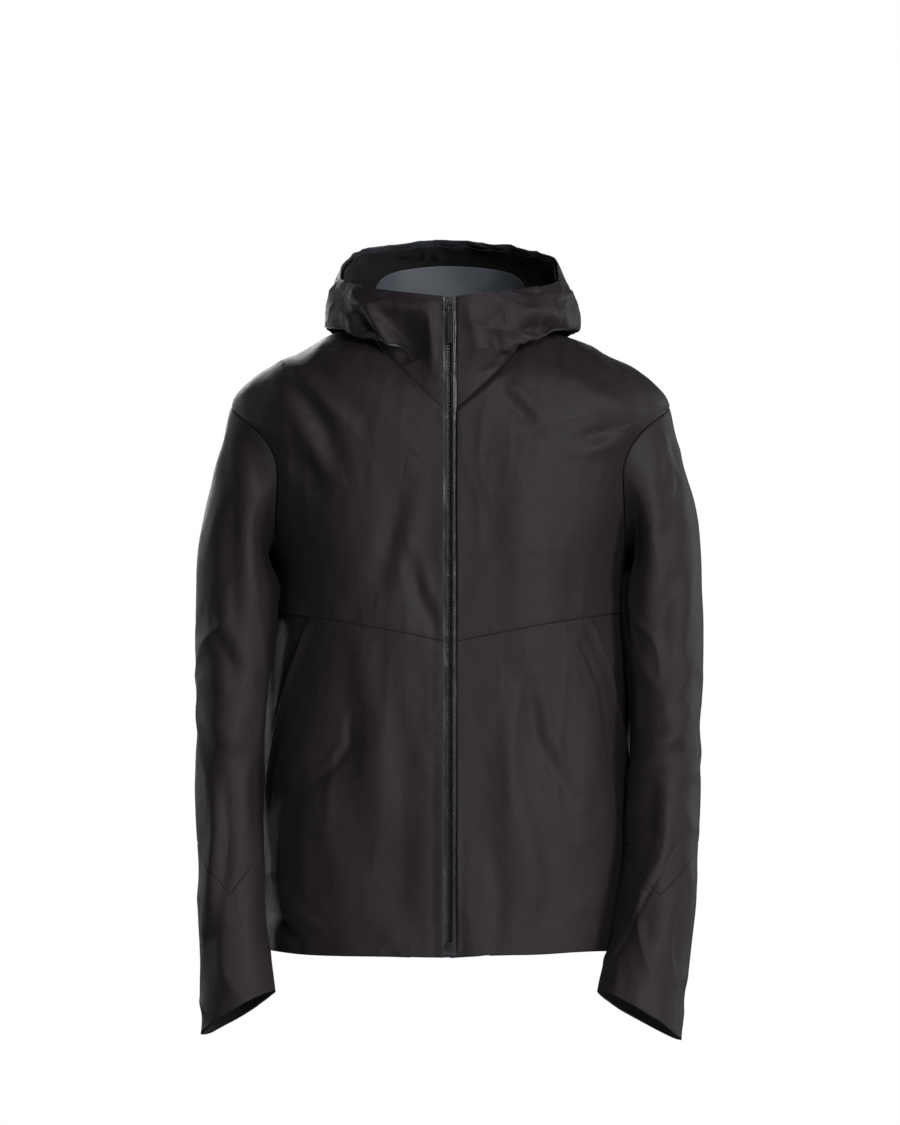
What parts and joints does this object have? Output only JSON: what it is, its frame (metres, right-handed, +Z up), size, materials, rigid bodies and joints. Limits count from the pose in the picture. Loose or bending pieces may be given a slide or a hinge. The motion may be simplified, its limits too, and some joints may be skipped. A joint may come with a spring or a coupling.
{
  "type": "hardshell jacket",
  "caption": "Hooded waterproof shell jacket with a full front zip, slanted hand pockets under flaps, dropped sleeves with slanted cuffs and a cord-adjusted hem, hood down.",
  "frame": {"origin": "between the wearer's shoulders, level with the neck ends of the shoulder lines: where the jacket hangs", "axes": "+Z up, -Y out of the front zip, +X towards the wearer's left sleeve"},
  "size_m": [0.549, 0.3744, 0.8609],
  "materials": {
    "shell_fabric": "matt plain weave",
    "inner_membrane": "smooth bonded membrane",
    "dark_trim": "brushed tricot",
    "laminated_tape": "smooth satin",
    "zip_teeth": "moulded coil",
    "dark_metal": "semi-gloss",
    "moulded_rubber": "matt",
    "spring_steel": "bright"
  },
  "bodies": {
    "jacket_body": {"back_lower": "shell_fabric", "back_seam_tape": "inner_membrane", "back_upper": "shell_fabric", "chest_seam_tape_left": "inner_membrane", "chest_seam_tape_right": "inner_membrane", "chin_guard": "dark_trim", "collar": "dark_trim", "cord_lock_body_left": "moulded_rubber", "cord_lock_body_right": "moulded_rubber", "cord_lock_spring_left": "spring_steel", "cord_lock_spring_right": "spring_steel", "front_lower_left": "shell_fabric", "front_lower_right": "shell_fabric", "front_upper_left": "shell_fabric", "front_upper_right": "shell_fabric", "hanger_loop": "dark_trim", "hem_cord": "dark_trim", "hem_facing": "inner_membrane", "hood_brim": "shell_fabric", "hood_facing": "dark_trim", "hood_middle": "shell_fabric", "hood_side_left": "shell_fabric", "hood_side_right": "shell_fabric", "pocket_bag_left": "inner_membrane", "pocket_bag_right": "inner_membrane", "pocket_zip_tape_left": "laminated_tape", "pocket_zip_tape_right": "laminated_tape", "pocket_zip_teeth_left": "zip_teeth", "pocket_zip_teeth_right": "zip_teeth", "shoulder_seam_tape_left": "inner_membrane", "shoulder_seam_tape_right": "inner_membrane", "side_panel_left": "shell_fabric", "side_panel_right": "shell_fabric", "storm_flap": "inner_membrane", "zip_box": "moulded_rubber", "zip_pin": "dark_metal", "zip_tape_left": "laminated_tape", "zip_tape_right": "laminated_tape", "zip_teeth_left": "zip_teeth", "zip_teeth_right": "zip_teeth", "zip_top_stop_left": "dark_metal", "zip_top_stop_right": "dark_metal"},
    "sleeve_left": {"sleeve_upper_left": "shell_fabric", "sleeve_forearm_left": "shell_fabric", "cuff_facing_left": "dark_trim"},
    "pocket_slider_left": {"pocket_zip_slider_left": "dark_metal"},
    "pocket_pull_left": {"pocket_zip_pull_left": "moulded_rubber"},
    "lock_button_left": {"cord_lock_button_left": "moulded_rubber"},
    "sleeve_right": {"sleeve_upper_right": "shell_fabric", "sleeve_forearm_right": "shell_fabric", "cuff_facing_right": "dark_trim"},
    "pocket_slider_right": {"pocket_zip_slider_right": "dark_metal"},
    "pocket_pull_right": {"pocket_zip_pull_right": "moulded_rubber"},
    "lock_button_right": {"cord_lock_button_right": "moulded_rubber"},
    "main_slider": {"zip_slider": "dark_metal"},
    "main_pull_link": {"zip_pull_link": "dark_metal"},
    "main_pull_tab": {"zip_pull_tab": "moulded_rubber"}
  },
  "joints": [
    {"name": "main_zip_slide", "type": "slide", "parent": "jacket_body", "child": "main_slider", "axis": [0, 0.0541, 0.9985], "range_m": [-0.676, 0]},
    {"name": "main_link_hinge", "type": "hinge", "parent": "main_slider", "child": "main_pull_link", "pos_m": [0, -0.11683, 0.01115], "axis": [-1, 0, 0], "range_deg": [0, 150]},
    {"name": "main_tab_hinge", "type": "hinge", "parent": "main_pull_link", "child": "main_pull_tab", "pos_m": [0, -0.11728, 0.00296], "axis": [-1, 0, 0], "range_deg": [0, 60]},
    {"name": "sleeve_swing_left", "type": "hinge", "parent": "jacket_body", "child": "sleeve_left", "pos_m": [0.231, 0, -0.1], "axis": [0, -1, 0], "range_deg": [0, 28]},
    {"name": "pocket_zip_slide_left", "type": "slide", "parent": "jacket_body", "child": "pocket_slider_left", "axis": [-0.1841, -0.3796, 0.9067], "range_m": [-0.128, 0]},
    {"name": "pocket_pull_hinge_left", "type": "hinge", "parent": "pocket_slider_left", "child": "pocket_pull_left", "pos_m": [0.16407, -0.06822, -0.38391], "axis": [-0.2773, -0.8649, -0.4184], "range_deg": [0, 8]},
    {"name": "lock_button_press_left", "type": "slide", "parent": "jacket_body", "child": "lock_button_left", "axis": [0, 0, 1], "range_m": [-0.0025, 0], "stiffness_N_per_m": 600, "springref_m": 0.003, "deforming": ["cord_lock_spring_left"]},
    {"name": "sleeve_swing_right", "type": "hinge", "parent": "jacket_body", "child": "sleeve_right", "pos_m": [-0.231, 0, -0.1], "axis": [0, 1, 0], "range_deg": [0, 28]},
    {"name": "pocket_zip_slide_right", "type": "slide", "parent": "jacket_body", "child": "pocket_slider_right", "axis": [0.1841, -0.3796, 0.9067], "range_m": [-0.128, 0]},
    {"name": "pocket_pull_hinge_right", "type": "hinge", "parent": "pocket_slider_right", "child": "pocket_pull_right", "pos_m": [-0.16407, -0.06822, -0.38391], "axis": [-0.2773, 0.8649, 0.4184], "range_deg": [0, 8]},
    {"name": "lock_button_press_right", "type": "slide", "parent": "jacket_body", "child": "lock_button_right", "axis": [0, 0, 1], "range_m": [-0.0025, 0], "stiffness_N_per_m": 600, "springref_m": 0.003, "deforming": ["cord_lock_spring_right"]}
  ]
}
